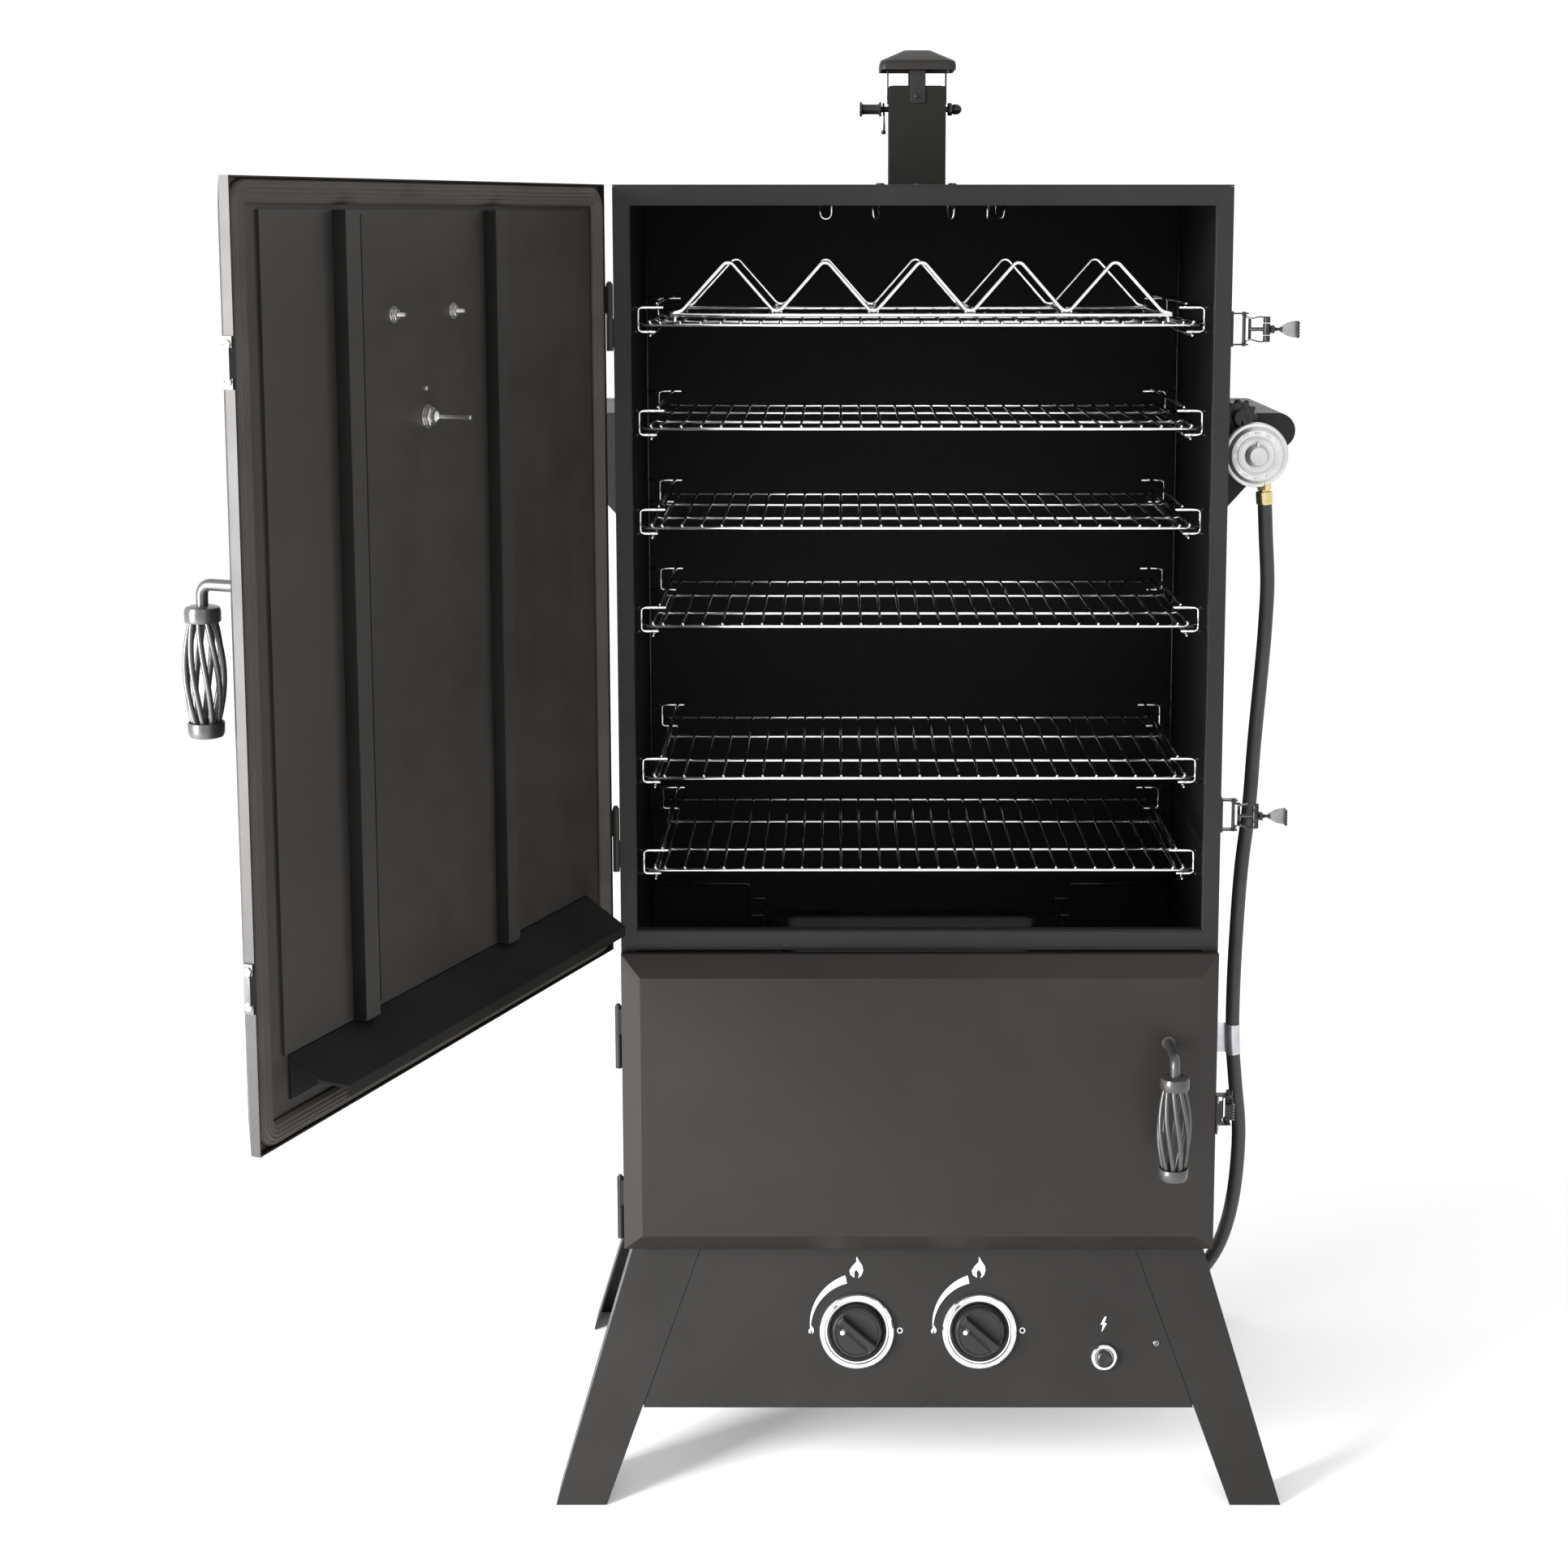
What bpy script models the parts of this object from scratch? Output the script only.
"""Vertical gas water smoker: a tall sheet-steel cabinet on four splayed legs, with two hinged doors.

Units are metres and +Z is up. The cabinet's own axes have X = 0 in the middle of its width, Y = 0 at the
front face of the face frame (the doors are at negative Y) and Z = 0 at a datum 33 mm above the ground. An
empty moves those axes so that the world origin is on the ground, under the middle of the whole object with
its upper door standing open.
"""

import math

import bmesh
import bpy
from mathutils import Matrix, Vector

# ---- driving dimensions -------------------------------------------------------------------------------
GAP = 0.0003  # left between faces that touch
SHEET = 0.0015  # thickness of the cabinet's steel sheet
WIDTH, DEPTH = 0.626, 0.410
BOTTOM, TOP = 0.242, 1.360
HALF = WIDTH / 2
OPENING_HALF = 0.297
RAIL_LOW, RAIL_HIGH = 0.566, 0.586  # the rail between the two door openings
OPENING_TOP = 1.340
LOWER_OPENING_LOW = 0.262

HINGE_X, HINGE_Y = -0.3168, -0.0008
KNUCKLE_R, PIN_R, BORE_R = 0.0036, 0.0017, 0.0021
KNUCKLE_HALF = 0.035
UPPER_HINGES = (1.2280, 0.6860)  # height of the joint between the two halves of each hinge
LOWER_HINGES = (0.4730, 0.2850)
OPEN_ANGLE = math.radians(112.2)

DOOR_HALF = 0.3125
DOOR_BACK, DOOR_FLANGE, DOOR_FACE = -0.0030, -0.0120, -0.0290
DOOR_BEVEL = 0.021
DOOR_SKIN = 0.0014
UPPER_DOOR = (0.568, 1.360)
LOWER_DOOR = (0.242, 0.565)
GASKET_WIDTH, GASKET_BACK = 0.020, -0.0004
LINER_Y = -0.0087  # the back of the inner sheet that the gasket is bonded to
LINER_HALF, FIELD_Y = 0.270, -0.0060
RIB_X, RIB_HALF, RIB_Y = (0.1565, -0.0895), 0.0105, 0.0070
THERMOMETER = (0.026, 1.152)

RACK_LEVELS = (1.2160, 1.1095, 1.0065, 0.9035, 0.7420, 0.6430)
RACK_HALF, RACK_FRONT, RACK_BACK = 0.2875, 0.025, 0.345
RACK_BARS, RACK_WIRE = 29, 0.004
RIB_ROWS = (0.031, 0.235)  # the two zigzag wires of the rib rack
POST_X, POST_Y = 0.305, (0.045, 0.335)
RAIL_X = 0.279
PAN_RAIL_X, PAN_HANGER_Z = 0.184, 0.543

CHIMNEY_Y, STACK_HALF, STACK_TOP = 0.217, 0.0305, 1.467
DAMPER_Z = 1.4435
CAP_HALF, CAP_LOW, CAP_RIM, CAP_TOP = 0.041, 1.484, 1.493, 1.506

GROUND = -0.033
LEG_TOP, LEG_LEAN = BOTTOM - GAP, 0.1777  # a front leg leans this far forwards per metre of height
LEG_TOP_Y = 0.010
LEG_TOP_X, LEG_FOOT_X, LEG_TOP_WIDTH, LEG_FOOT_WIDTH = 0.303, 0.386, 0.073, 0.054
PANEL_TOP, PANEL_LOW = BOTTOM - GAP, 0.068
PANEL_TOP_HALF, PANEL_LOW_HALF = 0.2294, 0.2937
KNOB_X, KNOB_Z, BEZEL_R, BEZEL_BORE_R, KNOB_R = 0.0655, 0.148, 0.0400, 0.0275, 0.0255
IGNITER = (0.1985, 0.121)

LATCH_PIVOT = (0.3265, 0.005)
LATCH_REACH = (0.006, 0.022)  # barrel from the pivot, with the latch closed
UPPER_LATCHES, LOWER_LATCH = (1.2150, 0.7100), 0.3900
HOOK_LENGTH = 0.032

SIDE_HANDLE_Y, SIDE_HANDLE_Z = (0.100, 0.320), (1.005, 1.122)
HANDLE_X, HANDLE_OUT = 0.259, 0.052
UPPER_HANDLE_Z, LOWER_HANDLE_Z = 1.029, 0.475

REGULATOR, REGULATOR_NUT = (0.3505, 0.062, 1.0815), (0.3370, 1.1195)
HOSE_R = 0.0075
FRAME_SHIFT = (0.1139, 0.0801, -GROUND)  # from the cabinet's axes to the world's

# ---- scene --------------------------------------------------------------------------------------------
for old in list(bpy.data.objects):
    bpy.data.objects.remove(old, do_unlink=True)
PARTS = bpy.data.collections.new("vertical_water_smoker")
bpy.context.scene.collection.children.link(PARTS)


def material(name, colour, roughness, metallic=0.0):
    made = bpy.data.materials.new(name)
    made.use_nodes = True
    shader = made.node_tree.nodes["Principled BSDF"]
    shader.inputs["Base Color"].default_value = (*colour, 1)
    shader.inputs["Roughness"].default_value = roughness
    shader.inputs["Metallic"].default_value = metallic
    return made


PAINT = material("black_paint", (0.045, 0.043, 0.040), 0.45)
INNER_STEEL = material("inner_steel", (0.030, 0.029, 0.028), 0.5)
CHROME = material("chrome_wire", (0.75, 0.75, 0.75), 0.15, 1.0)
SEAL = material("seal", (0.070, 0.055, 0.045), 0.9)
ZINC = material("zinc_steel", (0.55, 0.54, 0.52), 0.35, 1.0)
BLACK_STEEL = material("black_steel", (0.030, 0.030, 0.029), 0.30, 0.6)
CAST = material("cast_aluminium", (0.50, 0.50, 0.50), 0.45, 1.0)
PLASTIC = material("black_plastic", (0.012, 0.012, 0.012), 0.3)
RUBBER = material("black_rubber", (0.030, 0.030, 0.032), 0.6)
ENAMEL = material("enamel", (0.015, 0.015, 0.016), 0.15)


def empty(name, place, turn=0.0, parent=None):
    """A pivot or frame, with its place in its parent's axes."""
    made = bpy.data.objects.new(name, None)
    PARTS.objects.link(made)
    made.parent = parent
    made.location = place
    made.rotation_euler = (0, 0, turn)
    return made


FRAME = empty("cabinet_frame", FRAME_SHIFT)


# ---- shapes: each function returns a mesh -------------------------------------------------------------
def evaluated(obj):
    """The object's mesh with its modifiers, welded, and the object removed."""
    graph = bpy.context.evaluated_depsgraph_get()
    graph.update()
    mesh = bpy.data.meshes.new_from_object(obj.evaluated_get(graph))
    bpy.data.objects.remove(obj, do_unlink=True)
    shape = bmesh.new()
    shape.from_mesh(mesh)
    bmesh.ops.remove_doubles(shape, verts=shape.verts, dist=1e-6)
    shape.to_mesh(mesh)
    shape.free()
    return mesh


def temporary(data):
    obj = bpy.data.objects.new("temporary", data)
    bpy.context.scene.collection.objects.link(obj)
    return obj


def from_bmesh(shape):
    bmesh.ops.recalc_face_normals(shape, faces=shape.faces)
    mesh = bpy.data.meshes.new("shape")
    shape.to_mesh(mesh)
    shape.free()
    return mesh


def box(low, high):
    """A block between two corners."""
    low, high = Vector(low), Vector(high)
    size = Matrix.Diagonal((*(high - low), 1))
    shape = bmesh.new()
    bmesh.ops.create_cube(shape, size=1, matrix=Matrix.Translation((low + high) / 2) @ size)
    return from_bmesh(shape)


def rod(start, end, radius, sides=12, end_radius=None):
    """A straight round bar, or a cone frustum where end_radius is given."""
    start, end = Vector(start), Vector(end)
    along = end - start
    turn = Vector((0, 0, 1)).rotation_difference(along).to_matrix().to_4x4()
    shape = bmesh.new()
    bmesh.ops.create_cone(
        shape,
        cap_ends=True,
        segments=sides,
        radius1=radius,
        radius2=radius if end_radius is None else end_radius,
        depth=along.length,
        matrix=Matrix.Translation((start + end) / 2) @ turn,
    )
    return from_bmesh(shape)


def wire(points, radius, resolution=2):
    """A bent round wire through the points, with closed ends."""
    curve = bpy.data.curves.new("wire", "CURVE")
    curve.dimensions = "3D"
    curve.bevel_depth = radius
    curve.bevel_resolution = resolution
    curve.use_fill_caps = True
    spline = curve.splines.new("POLY")
    spline.points.add(len(points) - 1)
    for point, place in zip(spline.points, points):
        point.co = (*place, 1)
    return evaluated(temporary(curve))


def plate(outline, thickness, place, holes=()):
    """A flat sheet, with its outline and holes in the plane of place's X and Y, and Z across it."""
    curve = bpy.data.curves.new("plate", "CURVE")
    curve.dimensions = "2D"
    curve.fill_mode = "BOTH"
    curve.extrude = thickness / 2
    for loop in (outline, *holes):
        spline = curve.splines.new("POLY")
        spline.points.add(len(loop) - 1)
        spline.use_cyclic_u = True
        for point, (x, y) in zip(spline.points, loop):
            point.co = (x, y, 0, 1)
    mesh = evaluated(temporary(curve))
    mesh.transform(place)
    return mesh


def turned(profile, steps=24, place=None):
    """A solid of revolution about Z. The profile runs from top to bottom as (radius, height)."""
    mesh = bpy.data.meshes.new("profile")
    edges = [(i, i + 1) for i in range(len(profile) - 1)]
    mesh.from_pydata([(r, 0, z) for r, z in profile], edges, [])
    obj = temporary(mesh)
    screw = obj.modifiers.new("turn", "SCREW")
    screw.steps = screw.render_steps = steps
    screw.use_merge_vertices = True
    screw.merge_threshold = 1e-5
    made = evaluated(obj)
    if place:
        made.transform(place)
    return made


def loft(lower, upper):
    """A closed body between two outlines with the same number of corners."""
    shape = bmesh.new()
    rings = [[shape.verts.new(p) for p in ring] for ring in (lower, upper)]
    for i in range(len(lower)):
        j = (i + 1) % len(lower)
        shape.faces.new((rings[0][i], rings[0][j], rings[1][j], rings[1][i]))
    shape.faces.new(rings[0][::-1])
    shape.faces.new(rings[1])
    return from_bmesh(shape)


def shell(rings, thickness, closed_end=True):
    """An open surface through the rings, from its mouth to its closed end, made solid inwards."""
    shape = bmesh.new()
    made = [[shape.verts.new(p) for p in ring] for ring in rings]
    for near, far in zip(made, made[1:]):
        for i in range(len(near)):
            j = (i + 1) % len(near)
            shape.faces.new((near[i], near[j], far[j], far[i]))
    if closed_end:
        shape.faces.new(made[-1])
    obj = temporary(from_bmesh(shape))
    solid = obj.modifiers.new("wall", "SOLIDIFY")
    solid.thickness = thickness
    solid.offset = -1
    solid.use_even_offset = True
    return evaluated(obj)


def rectangle(half_x, low, high, y):
    """Four corners of a rectangle that faces -Y."""
    return [(-half_x, y, low), (half_x, y, low), (half_x, y, high), (-half_x, y, high)]


def flat_rectangle(x0, y0, x1, y1):
    return [(x0, y0), (x1, y0), (x1, y1), (x0, y1)]


def circle(radius, sides=24, centre=(0, 0)):
    turns = [2 * math.pi * i / sides for i in range(sides)]
    return [(centre[0] + radius * math.cos(t), centre[1] + radius * math.sin(t)) for t in turns]


def combined(base, others, operation):
    """The base with the other meshes joined to it or cut from it."""
    pieces = bpy.data.collections.new("pieces")
    bpy.context.scene.collection.children.link(pieces)
    for other in others:
        pieces.objects.link(bpy.data.objects.new("piece", other))
    obj = temporary(base)
    boolean = obj.modifiers.new("combine", "BOOLEAN")
    boolean.operation = operation
    boolean.operand_type = "COLLECTION"
    boolean.collection = pieces
    boolean.solver = "EXACT"
    made = evaluated(obj)
    for piece in list(pieces.objects):
        bpy.data.objects.remove(piece, do_unlink=True)
    bpy.data.collections.remove(pieces)
    return made


def joined(*meshes):
    return combined(meshes[0], meshes[1:], "UNION")


def cut(mesh, *cutters):
    return combined(mesh, cutters, "DIFFERENCE")


def facing_front(y=0.0, x=0.0, z=0.0):
    """Axes with X to the right, Y up and Z towards the front."""
    return Matrix.Translation((x, y, z)) @ Matrix.Rotation(math.pi / 2, 4, "X")


def facing_up(z=0.0):
    return Matrix.Translation((0, 0, z))


def mirrored(mesh):
    """A copy on the other side of X = 0."""
    shape = bmesh.new()
    shape.from_mesh(mesh)
    bmesh.ops.transform(shape, matrix=Matrix.Scale(-1, 4, (1, 0, 0)), verts=shape.verts)
    bmesh.ops.reverse_faces(shape, faces=shape.faces)
    return from_bmesh(shape)


def node(name, mesh, surface, parent=None):
    """Names the mesh as a sub-part. Its points are in its parent's axes."""
    mesh.name = name
    mesh.materials.clear()
    mesh.materials.append(surface)
    mesh.shade_smooth()
    mesh.set_sharp_from_angle(angle=math.radians(35))
    obj = bpy.data.objects.new(name, mesh)
    PARTS.objects.link(obj)
    obj.parent = parent or FRAME
    return obj


def relative(mesh, pivot):
    """Moves a mesh from the cabinet's axes to a pivot's, which aren't turned."""
    mesh.transform(Matrix.Translation(-Vector(pivot)))
    return mesh


# ---- cabinet ------------------------------------------------------------------------------------------
def hinge_pin_half(z):
    """The cabinet's half of a hinge: a barrel below the joint, its pin above, and its weld."""
    barrel = rod((HINGE_X, HINGE_Y, z - KNUCKLE_HALF), (HINGE_X, HINGE_Y, z - GAP), KNUCKLE_R)
    pin = rod((HINGE_X, HINGE_Y, z - 0.004), (HINGE_X, HINGE_Y, z + 0.020), PIN_R, 8)
    weld = box(
        (-0.3168, SHEET + GAP, z - KNUCKLE_HALF + 0.003),
        (-HALF + 0.0008, 0.0040, z - 0.003),
    )
    return [barrel, pin, weld]


def side_panel():
    return box((-HALF, SHEET + GAP, BOTTOM), (-HALF + SHEET, DEPTH - SHEET - GAP, TOP - SHEET - GAP))


def cabinet():
    hinges = [piece for z in UPPER_HINGES + LOWER_HINGES for piece in hinge_pin_half(z)]
    node("left_side_panel", joined(side_panel(), *hinges), PAINT)
    node("right_side_panel", mirrored(side_panel()), PAINT)
    inner = HALF - SHEET - GAP
    node("back_panel", box((-HALF, DEPTH - SHEET, BOTTOM), (HALF, DEPTH, TOP - SHEET - GAP)), PAINT)

    flue = STACK_HALF - 0.003
    roof = plate(
        flat_rectangle(-HALF, 0, HALF, DEPTH),
        SHEET,
        facing_up(TOP - SHEET / 2),
        [flat_rectangle(-flue, CHIMNEY_Y - flue, flue, CHIMNEY_Y + flue)],
    )
    node("roof_panel", roof, PAINT)

    floor = plate(
        flat_rectangle(-inner, SHEET + GAP, inner, DEPTH - SHEET - GAP),
        SHEET,
        facing_up(BOTTOM + SHEET / 2),
        [circle(0.022, 16, (side * KNOB_X, 0.100)) for side in (-1, 1)],
    )
    brackets = []
    for side in (-1, 1):
        outer, lip = sorted((side * 0.150, side * 0.1485)), sorted((side * 0.150, side * 0.130))
        brackets.append(box((outer[0], 0.060, BOTTOM + 0.001), (outer[1], 0.300, 0.322)))
        brackets.append(box((lip[0], 0.060, 0.3205), (lip[1], 0.300, 0.322)))
    node("floor_panel", joined(floor, *brackets), INNER_STEEL)

    frame = plate(
        flat_rectangle(-HALF, BOTTOM, HALF, TOP - SHEET - GAP),
        SHEET,
        facing_front(SHEET / 2),
        [
            flat_rectangle(-OPENING_HALF, RAIL_HIGH, OPENING_HALF, OPENING_TOP),
            flat_rectangle(-OPENING_HALF, LOWER_OPENING_LOW, OPENING_HALF, RAIL_LOW),
        ],
    )
    node("front_frame", frame, PAINT)


def square(half, z):
    return [
        (-half, CHIMNEY_Y - half, z),
        (half, CHIMNEY_Y - half, z),
        (half, CHIMNEY_Y + half, z),
        (-half, CHIMNEY_Y + half, z),
    ]


def chimney():
    base = TOP + GAP
    flue = STACK_HALF - SHEET
    tube = plate(
        flat_rectangle(-STACK_HALF, CHIMNEY_Y - STACK_HALF, STACK_HALF, CHIMNEY_Y + STACK_HALF),
        STACK_TOP - base,
        facing_up((STACK_TOP + base) / 2),
        [flat_rectangle(-flue, CHIMNEY_Y - flue, flue, CHIMNEY_Y + flue)],
    )
    flange = plate(
        flat_rectangle(-0.047, CHIMNEY_Y - 0.047, 0.047, CHIMNEY_Y + 0.047),
        SHEET,
        facing_up(base + SHEET / 2),
        [flat_rectangle(-flue, CHIMNEY_Y - flue, flue, CHIMNEY_Y + flue)],
    )
    shaft_hole = rod((-0.05, CHIMNEY_Y, DAMPER_Z), (0.05, CHIMNEY_Y, DAMPER_Z), 0.0036)
    node("chimney_stack", cut(joined(tube, flange), shaft_hole), PAINT)

    hood = shell([square(CAP_HALF, CAP_LOW), square(CAP_HALF, CAP_RIM), square(0.0145, CAP_TOP)], SHEET)
    straps = []
    low, high = STACK_TOP - 0.010, CAP_RIM + 0.003
    near, far = STACK_HALF + GAP, STACK_HALF + GAP + 0.0016
    for side in (-1, 1):
        across = sorted((side * near, side * far))
        straps.append(box((-0.0085, CHIMNEY_Y + across[0], low), (0.0085, CHIMNEY_Y + across[1], high)))
        straps.append(box((across[0], CHIMNEY_Y - 0.0085, low), (across[1], CHIMNEY_Y + 0.0085, high)))
    node("chimney_cap", joined(hood, *straps), PAINT)

    pivot = (0, CHIMNEY_Y, DAMPER_Z)
    blade = box((-0.0275, -0.0008, -0.0255), (0.0275, 0.0008, 0.0255))
    shaft = rod((-0.060, 0, 0), (0.052, 0, 0), 0.003, 8)
    knob = [
        rod((-0.062, 0, 0), (-0.059, 0, 0), 0.008, 16),
        rod((-0.060, 0, 0), (-0.042, 0, 0), 0.0055, 12),
        rod((-0.042, 0, 0), (-0.0385, 0, 0), 0.008, 16),
    ]
    pointer = box((-0.0365, -0.0012, -0.024), (-0.0340, 0.0012, 0.006))
    nut = rod((0.0335, 0, 0), (0.0395, 0, 0), 0.0065, 6)
    acorn = rod((0.039, 0, 0), (0.0465, 0, 0), 0.0055, 10, 0.003)
    damper = joined(blade, shaft, *knob, pointer, nut, acorn)
    node("chimney_damper", damper, BLACK_STEEL, empty("damper_pivot", pivot, parent=FRAME))


def side_handle():
    """The right-hand grip: a bent sheet with a rounded nose, open below, between two end gussets."""
    low, high = SIDE_HANDLE_Z
    wall = HALF + GAP
    nose_r, skin = 0.0190, 0.0016
    centre = (wall + 0.086 - nose_r, high - nose_r)

    def nose(radius):
        turns = [math.radians(90 - 135 * i / 6) for i in range(7)]
        return [(centre[0] + radius * math.cos(t), centre[1] + radius * math.sin(t)) for t in turns]

    outer = [(wall, high), *nose(nose_r), (wall + 0.046, high - 0.066)]
    inner = [(wall + 0.0448, high - 0.0649), *reversed(nose(nose_r - skin)), (wall, high - skin)]
    across = Matrix.Rotation(math.pi / 2, 4, "X")
    near, far = SIDE_HANDLE_Y
    sheet = plate(outer + inner, far - near, Matrix.Translation((0, (near + far) / 2, 0)) @ across)
    gusset = [*outer, (wall, low)]
    ends = [
        plate(gusset, skin, Matrix.Translation((0, y, 0)) @ across)
        for y in (near + skin / 2, far - skin / 2)
    ]
    return joined(sheet, *ends)


def leg(side, rear):
    """An angle section that leans outwards, from the floor to the cabinet."""

    def section(corner_x, corner_y, plate_width, side_depth, z):
        into = -1 if rear else 1
        wall = 0.002
        across = [0, -plate_width, -plate_width, -wall, -wall, 0]
        along = [0, 0, wall, wall, side_depth, side_depth]
        return [(side * (corner_x + a), corner_y + into * b, z) for a, b in zip(across, along)]

    top_y = DEPTH - 0.012 if rear else LEG_TOP_Y
    foot_y = DEPTH + 0.020 if rear else LEG_TOP_Y - (LEG_TOP - GROUND) * LEG_LEAN
    return loft(
        section(LEG_FOOT_X, foot_y, LEG_FOOT_WIDTH, 0.050, GROUND),
        section(LEG_TOP_X, top_y, LEG_TOP_WIDTH, 0.070, LEG_TOP),
    )


def legs():
    for side, word in ((-1, "left"), (1, "right")):
        node(f"front_{word}_leg", leg(side, False), PAINT)
        node(f"rear_{word}_leg", leg(side, True), PAINT)


def panel_y(z):
    """The front of the sloping control panel at a height."""
    return LEG_TOP_Y - (LEG_TOP - z) * LEG_LEAN


def on_panel(x, z, out=0.0):
    """Axes on the control panel with Z along its outward normal, out metres in front of its face."""
    lean = math.atan(LEG_LEAN)
    place = Matrix.Translation((x, panel_y(z), z)) @ Matrix.Rotation(math.pi / 2 - lean, 4, "X")
    return place @ Matrix.Translation((0, 0, out))


def control_panel():
    rise = math.hypot(1, LEG_LEAN)
    middle = (PANEL_TOP + PANEL_LOW) / 2

    def along(z):
        return (z - middle) * rise

    outline = [(-PANEL_LOW_HALF, along(PANEL_LOW)), (PANEL_LOW_HALF, along(PANEL_LOW))]
    outline += [(PANEL_TOP_HALF, along(PANEL_TOP)), (-PANEL_TOP_HALF, along(PANEL_TOP))]
    holes = [circle(0.007, 12, (side * KNOB_X, along(KNOB_Z))) for side in (-1, 1)]
    holes.append(circle(0.0095, 16, (IGNITER[0], along(IGNITER[1]))))
    face = plate(outline, SHEET, on_panel(0, middle, -SHEET / 2), holes)
    y = panel_y(PANEL_LOW)
    inside = PANEL_LOW_HALF - 0.002
    lip = box((-inside, y + 0.0002, PANEL_LOW), (inside, y + 0.030, PANEL_LOW + SHEET))
    node("control_panel", joined(face, lip), PAINT)

    ring = [(BEZEL_R - 0.004, 0.0055), (BEZEL_R, 0.0030), (BEZEL_R, 0.0), (BEZEL_BORE_R, 0.0)]
    ring += [(BEZEL_BORE_R, 0.0030), (BEZEL_R - 0.004, 0.0055)]
    for side, word in ((-1, "left"), (1, "right")):
        node(f"{word}_knob_bezel", turned(ring, 32, on_panel(side * KNOB_X, KNOB_Z, GAP)), CHROME)
        grip = rod((0, 0, 0.004), (0, 0, 0.012), KNOB_R, 24, KNOB_R - 0.002)
        bar = box((-KNOB_R + 0.003, -0.006, 0.010), (KNOB_R - 0.003, 0.006, 0.026))
        bar.transform(Matrix.Rotation(math.radians(-45), 4, "Z"))
        shaft = rod((0, 0, -0.018), (0, 0, 0.006), 0.004, 8)
        pivot = empty(f"{word}_knob_pivot", (0, 0, 0), parent=FRAME)
        pivot.matrix_local = on_panel(side * KNOB_X, KNOB_Z)
        node(f"{word}_knob", joined(grip, bar, shaft), PLASTIC, pivot)

    collar = [(0.0125, 0.006), (0.0140, 0.004), (0.0140, 0), (0.0090, 0), (0.0090, 0.006)]
    collar.append(collar[0])
    node("igniter_bezel", turned(collar, 24, on_panel(*IGNITER, GAP)), CHROME)
    pivot = empty("igniter_pivot", (0, 0, 0), parent=FRAME)
    pivot.matrix_local = on_panel(*IGNITER)
    cap = rod((0, 0, 0.0046), (0, 0, 0.0112), 0.0083, 16, 0.0073)
    stem = rod((0, 0, -0.012), (0, 0, 0.006), 0.0045, 8)
    node("igniter_button", joined(cap, stem), PLASTIC, pivot)


def burners():
    """Two burners above the cabinet's floor, their risers, valves and the pipe that feeds them."""
    pipe_y, pipe_z = 0.052, 0.163
    pieces = [rod((-0.085, pipe_y, pipe_z), (0.248, pipe_y, pipe_z), 0.008, 10)]
    for side in (-1, 1):
        x = side * KNOB_X
        pieces.append(box((x - 0.012, 0.022, pipe_z - 0.014), (x + 0.012, 0.064, pipe_z + 0.014)))
        pieces.append(box((x - 0.010, 0.060, pipe_z - 0.010), (x + 0.010, 0.112, pipe_z + 0.010)))
        pieces.append(rod((x, 0.100, pipe_z - 0.006), (x, 0.100, 0.275), 0.014, 12))
        pieces.append(box((x - 0.018, 0.080, 0.262), (x + 0.018, 0.285, 0.282)))
    node("burner_assembly", joined(*pieces), CAST)


# ---- inside the cabinet -------------------------------------------------------------------------------
def rack():
    """A shelf of parallel wires in a frame, on its own place with the frame's underside at Z = 0."""
    pitch = (2 * RACK_HALF - RACK_WIRE) / (RACK_BARS - 1)
    slots = []
    for i in range(RACK_BARS - 1):
        left = -RACK_HALF + RACK_WIRE + i * pitch
        right = left + pitch - RACK_WIRE
        slots.append(flat_rectangle(left, RACK_FRONT + 0.005, right, RACK_BACK - 0.005))
    outline = flat_rectangle(-RACK_HALF, RACK_FRONT, RACK_HALF, RACK_BACK)
    return plate(outline, RACK_WIRE, facing_up(RACK_WIRE / 2), slots)


def racks():
    for number, level in enumerate(RACK_LEVELS, 1):
        slide = empty(f"rack_{number}_slide", (0, 0, level), parent=FRAME)
        node(f"rack_{number}", rack(), CHROME, slide)
        if number == 1:
            node("rib_rack", rib_rack(), CHROME, slide)


def rib_rack():
    """Two zigzag wires, front and back, joined by straight rods. It stands on the top rack."""
    foot, valley, peak = 0.0125, 0.0170, 0.0650
    pitch, half = 0.0990, 0.2560
    near, far = RIB_ROWS[0] - 0.001, RIB_ROWS[1] + 0.001
    line = [(-half, valley), (-2.5 * pitch + 0.004, valley)]
    for i in range(5):
        middle = (i - 2) * pitch
        line += [(middle, peak)]
        line += [(middle + pitch / 2, valley)] if i < 4 else [(2.5 * pitch - 0.004, valley)]
    line += [(half, valley)]
    pieces = []
    for y in RIB_ROWS:
        pieces.append(wire([(x, y, z) for x, z in line], 0.0022, 1))
        pieces.append(box((-half, y - 0.002, foot - 0.002), (half, y + 0.002, foot + 0.0035)))
    for i in range(5):
        x = (i - 2) * pitch
        pieces.append(box((x - 0.002, near, peak - 0.003), (x + 0.002, far, peak + 0.001)))
    for x in (-half + 0.004, half - 0.004):
        pieces.append(box((x - 0.002, near, RACK_WIRE + GAP), (x + 0.002, far, foot)))
    return joined(*pieces)


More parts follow.
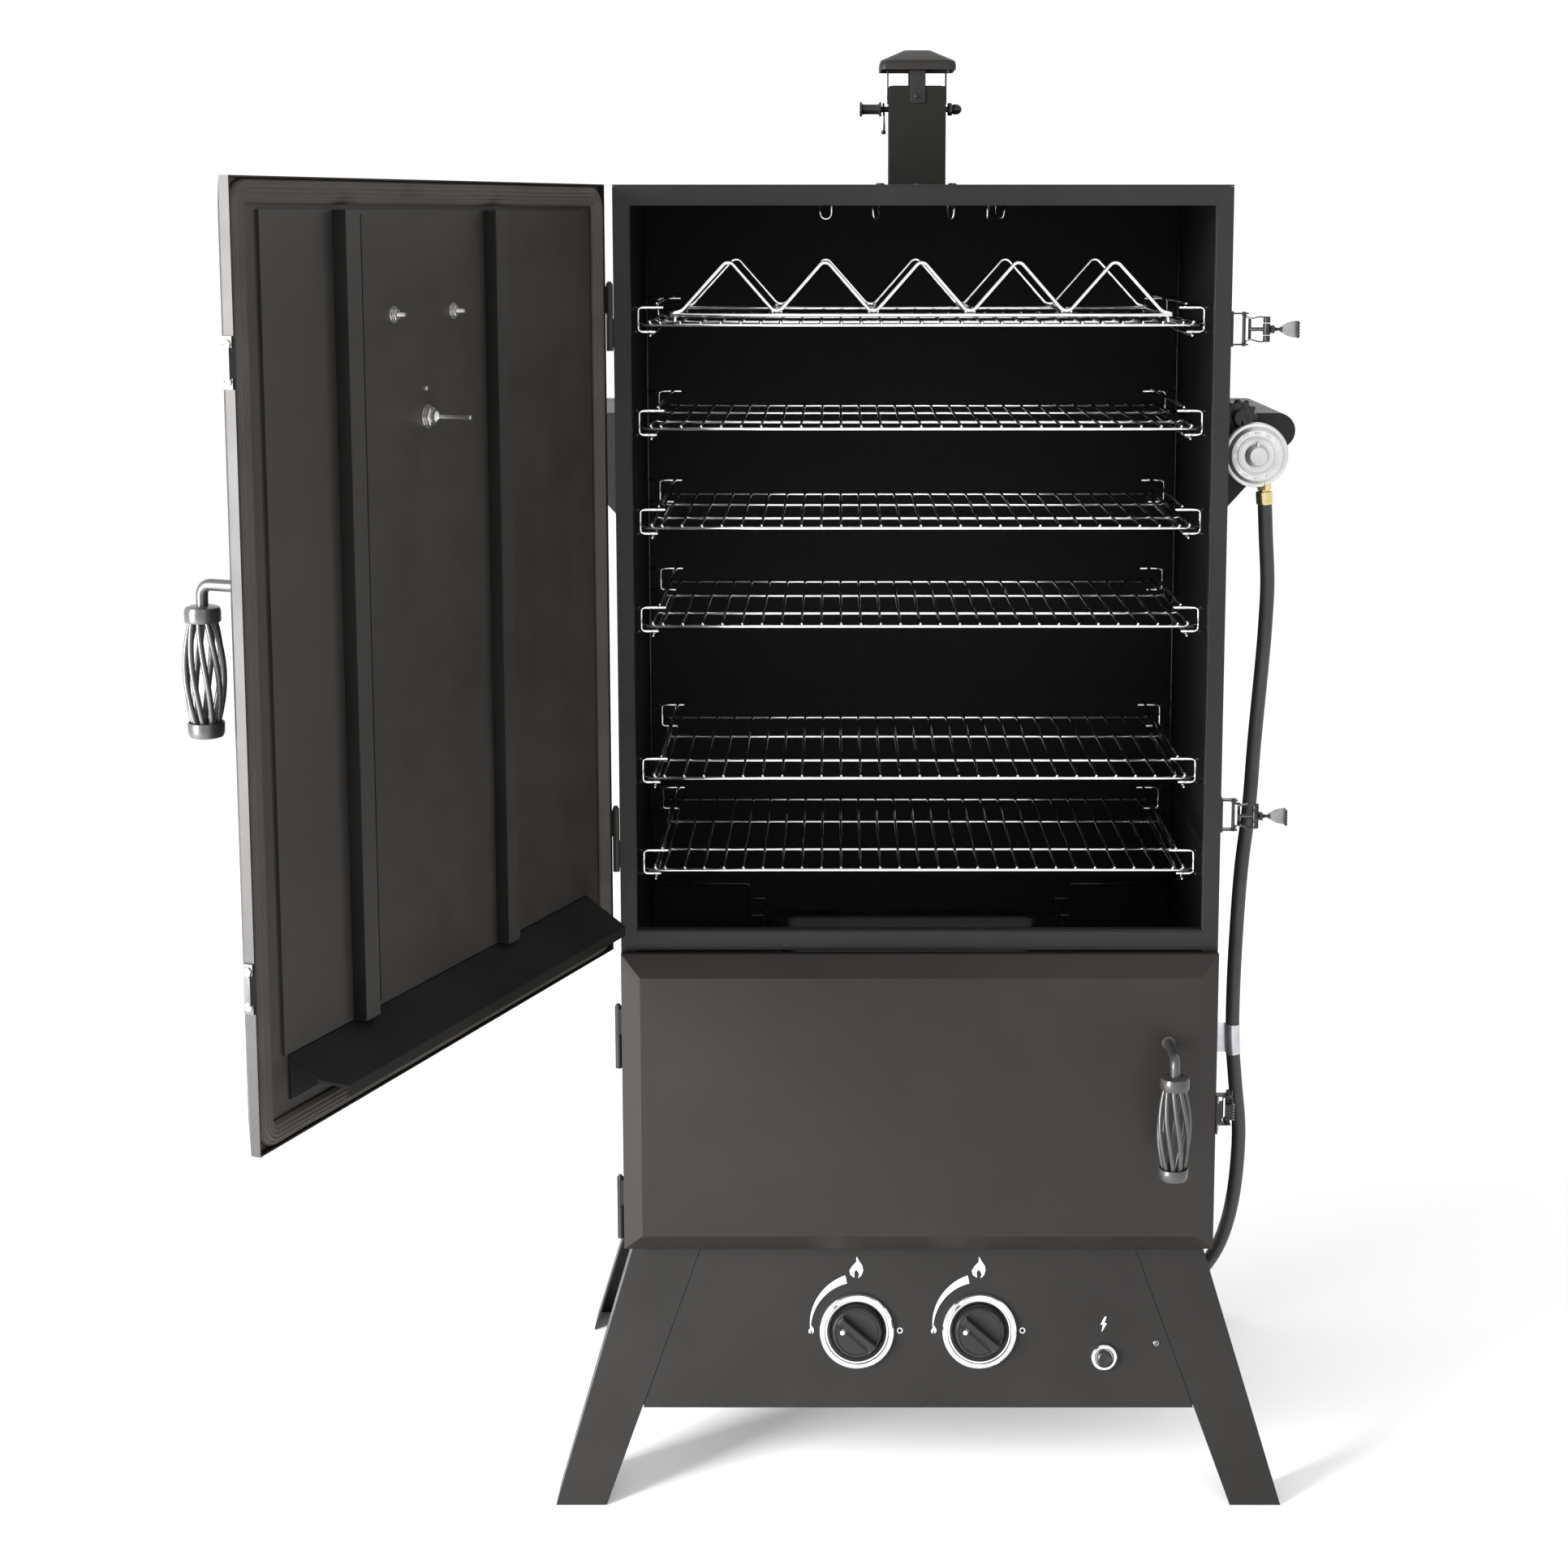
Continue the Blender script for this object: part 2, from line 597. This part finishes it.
def rack_ladder():
    """The right-hand wire guides: two posts with two rails for each rack, and the pan's hanger."""
    t = 0.002
    front, back = POST_Y
    pieces = [box((POST_X - t, y - t, 0.500), (POST_X + t, y + t, 1.335)) for y in POST_Y]

    def rail(x, z):
        arms = [box((x - t, y - t * 0.9, z - t), (POST_X, y + t * 0.9, z + t)) for y in POST_Y]
        return [box((x - t, front - 0.010, z - t), (x + t, back + 0.006, z + t)), *arms]

    for level in RACK_LEVELS:
        pieces += rail(RAIL_X, level - t - GAP)
        pieces += rail(RAIL_X - 0.006, level + 0.020)
    for y in POST_Y:
        pieces.append(box((PAN_RAIL_X - t, y - t, PAN_HANGER_Z - t), (POST_X, y + t, PAN_HANGER_Z + t)))
        pieces.append(box((PAN_RAIL_X - t, y - t, 0.505), (PAN_RAIL_X + t, y + t, PAN_HANGER_Z)))
    x = PAN_RAIL_X - 0.014
    for z in (0.507, 0.527):
        pieces.append(box((x - t, front - 0.010, z - t), (x + t, back + 0.006, z + t)))
        for y in POST_Y:
            pieces.append(box((x, y - t * 0.9, z - t), (PAN_RAIL_X, y + t * 0.9, z + t)))
    return joined(*pieces)


def water_pan():
    low, rim = 0.425, 0.5095 + 0.0003
    x, y0, y1 = 0.158, 0.062, 0.318
    taper = 0.022

    def ring(grow, z):
        return [
            (-x - grow, y0 - grow, z),
            (x + grow, y0 - grow, z),
            (x + grow, y1 + grow, z),
            (-x - grow, y1 + grow, z),
        ]

    pan = shell([ring(0, rim + 0.002), ring(-taper, low)], 0.0015)
    lip = plate(
        [(p[0], p[1]) for p in ring(0.018, 0)],
        0.002,
        facing_up(rim + 0.001),
        [[(p[0], p[1]) for p in ring(-0.0015, 0)]],
    )
    return joined(pan, lip)


def chip_tray():
    def ring(grow, z):
        return [(-0.120 - grow, 0.070 - grow, z), (0.120 + grow, 0.070 - grow, z),
                (0.120 + grow, 0.290 + grow, z), (-0.120 - grow, 0.290 + grow, z)]

    base = 0.3223
    tray = shell([ring(0, base + 0.034), ring(-0.006, base - 0.014)], 0.0015)
    lip = plate(
        [(-0.146, 0.062), (0.146, 0.062), (0.146, 0.298), (-0.146, 0.298)],
        0.0015,
        facing_up(base + 0.00075),
        [flat_rectangle(-0.1150, 0.0750, 0.1150, 0.2850)],
    )
    pull = joined(
        box((-0.030, 0.040, base + 0.010), (0.030, 0.0415, base + 0.026)),
        box((-0.030, 0.040, base + 0.0245), (0.030, 0.072, base + 0.026)),
    )
    return joined(tray, lip, pull)


def hook_rack():
    """Rods under the roof with hooks hanging from them."""
    z = 1.3490
    pieces = [
        box((-HALF + SHEET + GAP, y - 0.002, z - 0.002), (HALF - SHEET - GAP, y + 0.002, z + 0.002))
        for y in (0.100, 0.190, 0.300)
    ]
    pieces.append(box((-0.002, 0.098, z - 0.0022), (0.002, 0.302, z + 0.0018)))
    for x, y in ((-0.096, 0.100), (-0.043, 0.190), (0.031, 0.100), (0.077, 0.190), (0.095, 0.300)):
        drop = 1.322
        bend = [(x, y, z), (x, y, drop + 0.004), (x - 0.003, y, drop), (x - 0.008, y, drop + 0.001)]
        bend.append((x - 0.011, y, drop + 0.007))
        pieces.append(wire(bend, 0.0014, 1))
    return joined(*pieces)


def interior():
    node("right_rack_ladder", rack_ladder(), CHROME)
    node("left_rack_ladder", mirrored(rack_ladder()), CHROME)
    racks()
    node("water_pan", water_pan(), ENAMEL, empty("water_pan_slide", (0, 0, 0), parent=FRAME))
    node("chip_tray", chip_tray(), ZINC, empty("chip_tray_slide", (0, 0, 0), parent=FRAME))
    node("hook_rack", hook_rack(), CHROME)


# ---- doors --------------------------------------------------------------------------------------------
def door_knuckle(z):
    """The door's half of a hinge: a domed barrel above the joint and its weld to the door's edge."""
    barrel = rod((HINGE_X, HINGE_Y, z), (HINGE_X, HINGE_Y, z + KNUCKLE_HALF - 0.003), KNUCKLE_R)
    top = z + KNUCKLE_HALF
    dome = rod((HINGE_X, HINGE_Y, top - 0.003), (HINGE_X, HINGE_Y, top), KNUCKLE_R, 12, 0.0018)
    weld = box((-0.3160, -0.0050, z + 0.003), (-DOOR_HALF + 0.0008, DOOR_BACK, top - 0.005))
    return [barrel, dome, weld]


def door_skin(low, high, hinges, holes=()):
    rings = [
        rectangle(DOOR_HALF, low, high, DOOR_BACK),
        rectangle(DOOR_HALF, low, high, DOOR_FLANGE),
        rectangle(DOOR_HALF - DOOR_BEVEL, low + DOOR_BEVEL, high - DOOR_BEVEL, DOOR_FACE),
    ]
    pan = shell(rings, DOOR_SKIN)
    halves = [piece for z in hinges for piece in door_knuckle(z)]
    bores = [
        rod((HINGE_X, HINGE_Y, z - 0.002), (HINGE_X, HINGE_Y, z + 0.0225), BORE_R, 8) for z in hinges
    ]
    return cut(joined(pan, *halves), *bores, *holes)


def rounded(half_x, low, high, radius, steps=3):
    """An upright rectangle's outline with round corners, as (x, z)."""
    corners = [(half_x, high, 0), (-half_x, high, 90), (-half_x, low, 180), (half_x, low, 270)]
    line = []
    for x, z, start in corners:
        cx, cz = x - math.copysign(radius, x), z - radius if z == high else z + radius
        for i in range(steps + 1):
            turn = math.radians(start + 90 * i / steps)
            line.append((cx + radius * math.cos(turn), cz + radius * math.sin(turn)))
    return line


def gasket(low, high):
    edge = DOOR_SKIN + GAP
    outer = rounded(DOOR_HALF - edge, low + edge, high - edge, 0.022)
    inner_half = DOOR_HALF - edge - GASKET_WIDTH
    inner = rounded(inner_half, low + edge + GASKET_WIDTH, high - edge - GASKET_WIDTH, 0.014)
    return plate(outer, 0.0080, facing_front(GASKET_BACK - 0.0040), [inner])


def liner(door, low, high, ribs_at):
    """The sheet under the gasket, with a raised field between two heights and upright ribs on that."""
    edge = DOOR_SKIN + GAP
    sheet = box(
        (-DOOR_HALF + edge, LINER_Y - 0.0015, door[0] + edge), (DOOR_HALF - edge, LINER_Y, door[1] - edge)
    )
    field = box((-LINER_HALF, LINER_Y - 0.0010, low), (LINER_HALF, FIELD_Y, high))
    ribs = [box((x - RIB_HALF, LINER_Y - 0.0005, low), (x + RIB_HALF, RIB_Y, high)) for x in ribs_at]
    return joined(sheet, field, *ribs)


def drop_handle(x, z, root_y):
    """A bent rod that leaves the door, turns down and carries a caged grip between two collars."""
    rod_r, bend = 0.005, 0.018
    out = root_y - HANDLE_OUT
    line = [(x, root_y - GAP, z), (x, out + bend, z)]
    for i in range(1, 5):
        turn = math.radians(90 * i / 4)
        line.append((x, out + bend - bend * math.sin(turn), z - bend + bend * math.cos(turn)))
    line.append((x, out, z - 0.020))
    profile = [(0, 0.112), (0.0150, 0.1110), (0.0150, 0.0980), (0.0100, 0.0970), (0.0160, 0.0750)]
    profile += [(0.0180, 0.0560), (0.0160, 0.0370), (0.0100, 0.0150), (0.0150, 0.0140), (0.0150, 0.0010)]
    grip = turned([*profile, (0, 0)], 16, facing_up(z - 0.129) @ Matrix.Translation((x, out, 0)))
    root = rod((x, root_y - GAP, z), (x, root_y - 0.003, z), 0.0075, 16)
    return joined(wire(line, rod_r, 2), grip, root)


def keeper(z):
    """A strike plate on the door's edge, with its catch turned out."""
    edge = DOOR_HALF + GAP
    leaf = box((edge, -0.0125, z - 0.021), (edge + 0.0018, -0.0035, z + 0.021))
    catch = box((edge, -0.0035 - 0.0008, z - 0.012), (edge + 0.0075, -0.0022, z + 0.012))
    return joined(leaf, catch)


def upper_door():
    pivot_at = (HINGE_X, HINGE_Y, 0)
    pivot = empty("upper_door_pivot", pivot_at, -OPEN_ANGLE, FRAME)
    low, high = UPPER_DOOR
    tx, tz = THERMOMETER
    stem_hole = rod((tx, -0.04, tz), (tx, 0.01, tz), 0.0050, 10)
    skin = door_skin(low, high, UPPER_HINGES, [stem_hole])
    node("upper_door_skin", relative(skin, pivot_at), PAINT, pivot)
    node("upper_door_gasket", relative(gasket(low, high), pivot_at), SEAL, pivot)

    hole = rod((tx, -0.02, tz), (tx, 0.01, tz), 0.0050, 10)
    inner = cut(liner(UPPER_DOOR, 0.640, high - 0.026, RIB_X), hole)
    node("upper_door_liner", relative(inner, pivot_at), INNER_STEEL, pivot)

    top, lip, y0, y1 = 0.6385, 0.611, LINER_Y + GAP + 0.0010, 0.037
    reach = 0.262
    slope = [(y0 - 0.0010, top), (y0, top), (y1, lip), (y1, lip - 0.010), (y1 - 0.0015, lip - 0.010)]
    slope += [(y1 - 0.0015, lip - 0.0016), (y0 + 0.0006, top - 0.0018)]
    slope += [(y0 + 0.0006, 0.6000), (y0 - 0.0010, 0.6000)]
    along = Matrix(((0, 0, 1, 0), (1, 0, 0, 0), (0, 1, 0, 0), (0, 0, 0, 1)))
    deflector = plate(slope, 2 * reach, along)
    cut_off = [(reach + 0.01, y1 + 0.01), (reach + 0.01, y1 - 0.022), (reach - 0.034, y1 + 0.01)]
    corner = loft([(x, y, 0.59) for x, y in cut_off], [(x, y, 0.65) for x, y in cut_off])
    node("drip_deflector", relative(cut(deflector, corner), pivot_at), INNER_STEEL, pivot)

    handle = drop_handle(HANDLE_X, UPPER_HANDLE_Z, DOOR_FACE)
    node("upper_door_handle", relative(handle, pivot_at), PAINT, pivot)

    face = DOOR_FACE - GAP
    dial = [(0, 0.013), (0.030, 0.013), (0.0345, 0.012), (0.0375, 0.008), (0.0375, 0), (0, 0)]
    body = turned(dial, 28, facing_front(face, tx, tz))
    stem = rod((tx, face - 0.002, tz), (tx, 0.048, tz), 0.0030, 8)
    nut = rod((tx, FIELD_Y + GAP, tz), (tx, 0.0010, tz), 0.0085, 6)
    node("door_thermometer", relative(joined(body, stem, nut), pivot_at), ZINC, pivot)

    for z, word in zip(UPPER_LATCHES, ("top", "bottom")):
        node(f"upper_door_keeper_{word}", relative(keeper(z), pivot_at), BLACK_STEEL, pivot)


def lower_door():
    pivot_at = (HINGE_X, HINGE_Y, 0)
    pivot = empty("lower_door_pivot", pivot_at, 0, FRAME)
    low, high = LOWER_DOOR
    node("lower_door_skin", relative(door_skin(low, high, LOWER_HINGES), pivot_at), PAINT, pivot)
    node("lower_door_gasket", relative(gasket(low, high), pivot_at), SEAL, pivot)
    inner = liner(LOWER_DOOR, low + 0.040, high - 0.040, ())
    node("lower_door_liner", relative(inner, pivot_at), INNER_STEEL, pivot)
    handle = drop_handle(HANDLE_X, LOWER_HANDLE_Z, DOOR_FACE)
    node("lower_door_handle", relative(handle, pivot_at), PAINT, pivot)
    node("lower_door_keeper", relative(keeper(LOWER_LATCH), pivot_at), BLACK_STEEL, pivot)


# ---- latches ------------------------------------------------------------------------------------------
def latch(name, z, is_open):
    """A draw latch on the right-hand wall: a base with two ears, a stirrup lever and a threaded hook."""
    px, py = LATCH_PIVOT
    wall = HALF + GAP
    base = [box((wall, 0.001, z - 0.018), (wall + 0.002, 0.040, z + 0.018))]
    for side in (-1, 1):
        ear = sorted((z + side * 0.0165, z + side * 0.0150))
        base.append(box((wall, 0.001, ear[0]), (px + 0.0040, 0.0105, ear[1])))
    base.append(rod((px, py, z - 0.0175), (px, py, z + 0.0175), 0.0018, 8))
    node(f"{name}_base", joined(*base), BLACK_STEEL)

    lever_turn = -math.pi / 2 if is_open else 0.0
    lever_pivot = empty(f"{name}_lever_pivot", (px, py, z), lever_turn, FRAME)
    dx, dy = LATCH_REACH
    arms = []
    for side in (-1, 1):
        level = sorted((side * 0.0135, side * 0.0120))
        outline = [(-0.004, -0.004), (0.004, -0.004), (0.008, 0.010), (dx + 0.004, dy - 0.004)]
        outline += [(dx + 0.004, dy + 0.004), (dx - 0.004, dy + 0.004), (-0.0015, 0.012), (-0.004, 0.009)]
        arm = plate(outline, level[1] - level[0], facing_up((level[0] + level[1]) / 2))
        eye = rod((0, 0, -0.02), (0, 0, 0.02), 0.0022, 8)
        arms.append(cut(arm, eye))
    barrel = rod((dx, dy, -0.0130), (dx, dy, -0.0062), 0.0034, 10)
    upper = rod((dx, dy, 0.0062), (dx, dy, 0.0130), 0.0034, 10)
    web = box((-0.0038, 0.0045, -0.0130), (-0.0024, 0.0085, 0.0130))
    node(f"{name}_lever", joined(*arms, barrel, upper, web), BLACK_STEEL, lever_pivot)

    hook_turn = math.pi if is_open else 0.0
    hook_pivot = empty(f"{name}_hook_pivot", (dx, dy, 0), hook_turn, lever_pivot)
    hub = rod((0, 0, -0.0059), (0, 0, 0.0059), 0.0034, 10)
    screw = rod((0, -0.018, 0), (0, 0.0030, 0), 0.0020, 8)

    def blade_edge(root_z, end_z):
        return [(-0.001, -0.016, root_z), (0.001, -0.016, root_z),
                (0.001, -HOOK_LENGTH, end_z), (-0.001, -HOOK_LENGTH, end_z)]

    blade = loft(blade_edge(-0.0025, -0.0085), blade_edge(0.0025, 0.0085))
    lip = box((-0.0095, -HOOK_LENGTH, -0.0085), (0.001, -HOOK_LENGTH + 0.0018, 0.0085))
    node(f"{name}_hook", joined(hub, screw, blade, lip), ZINC, hook_pivot)


# ---- gas supply ---------------------------------------------------------------------------------------
HOSE_ROUTE = (
    (0.3618, 0.062, 1.0300), (0.3640, 0.064, 0.9950), (0.3675, 0.068, 0.9460), (0.3670, 0.072, 0.9000),
    (0.3650, 0.074, 0.8590), (0.3590, 0.076, 0.7720), (0.3550, 0.076, 0.7020), (0.3480, 0.076, 0.6320),
    (0.3440, 0.076, 0.5530), (0.3425, 0.076, 0.4900), (0.3430, 0.076, 0.4400), (0.3470, 0.078, 0.3960),
    (0.3530, 0.082, 0.3350), (0.3500, 0.088, 0.2650), (0.3400, 0.094, 0.2130), (0.3240, 0.097, 0.1790),
    (0.3050, 0.088, 0.1650), (0.2920, 0.070, 0.1630), (0.2800, 0.056, 0.1630), (0.2660, 0.052, 0.1630),
    (0.2490, 0.052, 0.1630),
)


def smooth_route(points, spacing):
    """A smooth curve through the points, as evenly spaced places along it."""
    line = []
    ends = [points[0], *points, points[-1]]
    for a, b, c, d in zip(ends, ends[1:], ends[2:], ends[3:]):
        a, b, c, d = (Vector(p) for p in (a, b, c, d))
        for i in range(12):
            t = i / 12
            bend = (2 * a - 5 * b + 4 * c - d) * t**2 + (3 * b - a - 3 * c + d) * t**3
            line.append(0.5 * (2 * b + (c - a) * t + bend))
    line.append(Vector(points[-1]))
    length = sum((q - p).length for p, q in zip(line, line[1:]))
    count = round(length / spacing)
    places, done, target = [line[0]], 0.0, length / count
    for p, q in zip(line, line[1:]):
        step = (q - p).length
        while done + step >= target - 1e-9 and len(places) < count:
            places.append(p.lerp(q, (target - done) / step))
            target += length / count
        done += step
    places.append(line[-1])
    return places


def gas_supply():
    x, y, z = REGULATOR
    face = turned(
        [(0, 0.020), (0.010, 0.020), (0.013, 0.014), (0.027, 0.012), (0.030, 0.008), (0.034, 0.006),
         (0.034, -0.002), (0.030, -0.004), (0.022, -0.014), (0, -0.014)],
        24,
        facing_front(y, x, z),
    )
    nut_x, nut_z = REGULATOR_NUT
    neck = rod((x - 0.004, y + 0.001, z + 0.014), (nut_x, y + 0.0085, nut_z), 0.0080, 10)
    collar = rod((nut_x, y, nut_z), (nut_x, y + 0.0165, nut_z), 0.0095, 12)
    outlet = rod((0.3600, 0.062, z - 0.020), (0.3618, 0.062, 1.0303 + GAP), 0.0068, 6)
    node("regulator", joined(face, neck, collar, outlet), CAST)

    nut = [(0.0060, 0.0100), (0.0090, 0.0100), (0.0090, 0.0185), (0.0180, 0.0185), (0.0190, 0.0030)]
    nut += [(0.0160, 0.0006), (0.0060, 0.0006), (0.0060, 0.0100)]
    pivot = empty("regulator_nut_pivot", (nut_x, y + 0.0165, nut_z), parent=FRAME)
    behind = Matrix.Rotation(-math.pi / 2, 4, "X")
    node("regulator_nut", turned(nut, 20, behind), PLASTIC, pivot)
    node("gas_hose", wire(smooth_route(HOSE_ROUTE, 0.018), HOSE_R, 2), RUBBER)


cabinet()
chimney()
node("right_side_handle", side_handle(), PAINT)
node("left_side_handle", mirrored(side_handle()), PAINT)
legs()
control_panel()
burners()
interior()
upper_door()
lower_door()
for latch_name, latch_z in zip(("upper_latch", "middle_latch"), UPPER_LATCHES):
    latch(latch_name, latch_z, True)
latch("lower_latch", LOWER_LATCH, False)
gas_supply()
